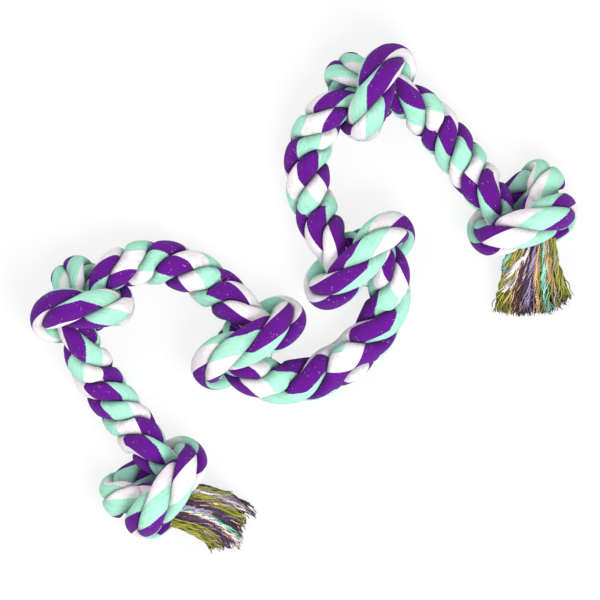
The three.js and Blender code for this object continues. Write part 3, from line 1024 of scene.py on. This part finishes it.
def cord_lines(sizes, fan, cord, rng):
    """The yarns of one cord, which wind round its line and part at the tips, and how high in it each runs."""
    first, last, cut, half_width, layer = cord
    share = np.linspace(0, 1, YARN_STEPS)
    sway = rng.uniform(-CORD_SWAY, CORD_SWAY) * wave(share, SWAY_WAVES, rng)
    turns = rng.uniform(*CORD_TURNS)
    full = sizes.length * np.interp(last, *fan.reach) * cut
    lines, rises = [], []
    for _ in range(round(sizes.yarns * half_width / CORD_HALF_WIDTH)):
        spin = rng.uniform(0, FULL_TURN) + FULL_TURN * turns * share
        off = math.sqrt(rng.uniform(0, 1))
        wide = off * half_width * (1 + TIP_PARTING * share**2)
        kink = sizes.kink * wave(share, KINK_WAVES, rng)
        stray = rng.normal(0, TIP_STRAY) * share**2
        across = first + (last - first) * share + sway * share
        across = across + (wide * np.cos(spin) + kink + stray) / (sizes.root_width / 2)
        gone = -sizes.lead + (sizes.lead + full * rng.uniform(*YARN_REACH)) * share
        lift = CORD_HEIGHT * wide * np.sin(spin) + KINK_LIFT * kink
        lines.append(yarn_line(sizes, fan, across, gone, layer, lift))
        rises.append(off * np.sin(spin))
    return lines, rises


def loose_line(sizes, fan, thread, rng):
    """A thin thread that lies loose on top of the tassel."""
    first, start, last, end = thread
    curl_across, curl_along = LOOSE_CURL
    share = np.linspace(0, 1, YARN_STEPS)
    across = first + (last - first) * share + curl_across * wave(share, LOOSE_WAVES, rng)
    curl = curl_along * np.cos(share * rng.uniform(*LOOSE_WAVES))
    gone = sizes.length * (start + (end - start) * share + curl)
    return yarn_line(sizes, fan, across, gone, LOOSE_ROW, LOOSE_LIFT)


def strayed(value, most, rng):
    return value + rng.uniform(-most, most)


def lock_cords(side, lock, rng):
    """The cords of one lock with their dyes and tones: the rows below, and the cords that show on top."""
    # The middle row's low tone is painted shade in the gaps between the cords on top.
    for row, tone_and_shade in UNDER_ROWS:
        for place in np.linspace(*LOCK_EDGES[lock], UNDER_CORDS):
            tip, height = strayed(place, UNDER_TIP_STRAY, rng), strayed(row, UNDER_ROW_STRAY, rng)
            cord = (place, tip, UNDER_REACH[side], CORD_HALF_WIDTH, height)
            yield cord, rng.choice(UNDER_DYES), tone_and_shade * rng.uniform(*UNDER_TONES)
    for *cord, dye in TOP_CORDS[side][lock]:
        yield (*cord, strayed(TOP_ROW, TOP_ROW_STRAY, rng)), dye, rng.uniform(*TOP_TONES)


def tassel_yarns(sizes, fan, side, lock, rng):
    """One lock's yarns: lines from the knot to the tips, and the dye, tone with painted shade and fullness of
    each.
    """
    lines, dyes, tones_and_shade = [], [], []
    for cord, dye, tone_and_shade in lock_cords(side, lock, rng):
        grown, rises = cord_lines(sizes, fan, cord, rng)
        own = np.full(len(grown), dye)
        other = rng.uniform(0, 1, len(grown)) < OTHER_SHARE
        own[other] = rng.choice(OTHER_DYES, other.sum())
        lines.extend(grown)
        dyes.extend(own)
        # Each yarn's tone with painted shade deep in its cord and a painted highlight on top.
        tones_and_shade.extend(tone_and_shade * rng.uniform(*YARN_TONES) * np.interp(rise, *PAINTED_SHADE_BY_RISE) for rise in rises)
    threads = [loose_line(sizes, fan, thread, rng) for thread in LOOSE_THREADS[side][lock]]
    full = [1.0] * len(lines) + [LOOSE_THICKNESS] * len(threads)
    lines.extend(threads)
    dyes.extend([LILAC] * len(threads))
    tones_and_shade.extend([np.full(YARN_STEPS, LOOSE_TONE)] * len(threads))
    return lines, (np.array(dyes) + 0.5) / len(TASSEL_DYES), np.array(tones_and_shade), full


class ROPETOY_OT_tassels(Operator):
    """Fan out the loose yarns of the two tassels"""

    bl_idname = "ropetoy.tassels"
    bl_label = "Tassels"

    def execute(self, context):
        sizes = context.scene.tassel_sizes
        tree = made_once(bpy.data.node_groups, "Tassel yarn", yarn_tree)
        material = made_once(
            bpy.data.materials, "Loose cotton yarn", tassel_material, context.scene.tassel_colours
        )
        *_, before, root = sample_rope(context.scene.rope_sizes)["place"]
        heading = math.atan2(root[1] - before[1], root[0] - before[0])
        share = np.linspace(0, 1, YARN_STEPS)
        taper = 1 - TIP_TAPER * share**3
        for side, mirror, spread, lean in zip(("right", "left"), (1, MIRROR), sizes.spread, sizes.lean):
            fan = Fan(root, heading, spread, lean, TIP_REACH[side])
            rng = np.random.default_rng(TASSEL_SEEDS[side])
            for lock, strand in enumerate(STRANDS):
                lines, dyes, tones_and_shade, full = tassel_yarns(sizes, fan, side, lock, rng)
                attributes = {
                    "yarn_full": np.outer(full, taper).ravel(),
                    "yarn_along": np.tile(share * sizes.length, len(lines)),
                    "yarn_dye": np.repeat(dyes, YARN_STEPS),
                    "yarn_tone": tones_and_shade.ravel(),
                }
                places = np.concatenate(lines) * mirror
                piece = grown_piece(
                    f"{side}_tassel_lock_{strand}",
                    line_mesh(f"{side}_tassel_{strand}", [YARN_STEPS] * len(lines), places, attributes),
                    tree,
                    {"Thickness": sizes.yarn_thickness, "Corners": YARN_CORNERS, "Material": material},
                )
                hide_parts(f"{side}_tassel_{strand}")
                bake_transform(piece)
        return {"FINISHED"}


class ROPETOY_OT_stage(Operator):
    """Set the pale floor, the soft studio light and the camera above the toy"""

    bl_idname = "ropetoy.stage"
    bl_label = "Stage"

    def execute(self, context):
        scene = context.scene
        stage = scene.stage_settings
        scene.view_settings.view_transform = "Standard"
        bpy.ops.mesh.primitive_plane_add(size=FLOOR_SIZE)
        floor = context.object
        floor.name = "Floor"
        floor.data.materials.append(floor_material(stage))
        scene.world = pale_world()
        centre = Vector(PICTURE_CENTRE)
        turn = Matrix.Rotation(stage.turn, 4, "Z")
        for name, place, size, power in LAMPS:
            light = bpy.data.lights.new(name, "AREA")
            light.size = size
            light.energy = power
            lamp = bpy.data.objects.new(name, light)
            lamp.location = turn @ Vector(place)
            lamp.rotation_euler = (centre - lamp.location).to_track_quat("-Z", "Y").to_euler()
            scene.collection.objects.link(lamp)
        lens = bpy.data.cameras.new("Camera")
        lens.lens = LENS_LENGTH
        lens.clip_end = VIEW_END
        camera = bpy.data.objects.new("Camera", lens)
        distance = stage.frame_width * lens.lens / lens.sensor_width
        camera.matrix_world = Matrix.Translation(centre + Vector((0, 0, distance))) @ turn
        scene.collection.objects.link(camera)
        scene.camera = camera
        return {"FINISHED"}


class ROPETOY_PT_panel(Panel):
    """Sizes, colours and pieces of the rope toy"""

    bl_idname = "ROPETOY_PT_panel"
    bl_label = "Rope toy"
    bl_space_type = "VIEW_3D"
    bl_region_type = "UI"
    bl_category = "Rope toy"

    def draw(self, context):
        for holder in HOLDERS:
            settings = getattr(context.scene, holder)
            box = self.layout.box()
            for name in settings.__annotations__:
                box.prop(settings, name)
        for operator in OPERATORS:
            self.layout.operator(operator.bl_idname)


HOLDERS = {
    "rope_sizes": RopeSizes,
    "strand_colours": StrandColours,
    "tassel_sizes": TasselSizes,
    "tassel_colours": TasselColours,
    "stage_settings": StageSettings,
}
OPERATORS = (ROPETOY_OT_stage, ROPETOY_OT_stretches, ROPETOY_OT_knots, ROPETOY_OT_tassels)
CLASSES = (*HOLDERS.values(), *OPERATORS, ROPETOY_PT_panel)


def register():
    for cls in CLASSES:
        bpy.utils.register_class(cls)
    for name, cls in HOLDERS.items():
        setattr(bpy.types.Scene, name, PointerProperty(type=cls))


def unregister():
    for name in HOLDERS:
        delattr(bpy.types.Scene, name)
    for cls in reversed(CLASSES):
        bpy.utils.unregister_class(cls)


def main():
    register()
    bpy.ops.ropetoy.stage()
    bpy.ops.ropetoy.stretches()
    bpy.ops.ropetoy.knots()
    bpy.ops.ropetoy.tassels()


if __name__ == "__main__":
    main()
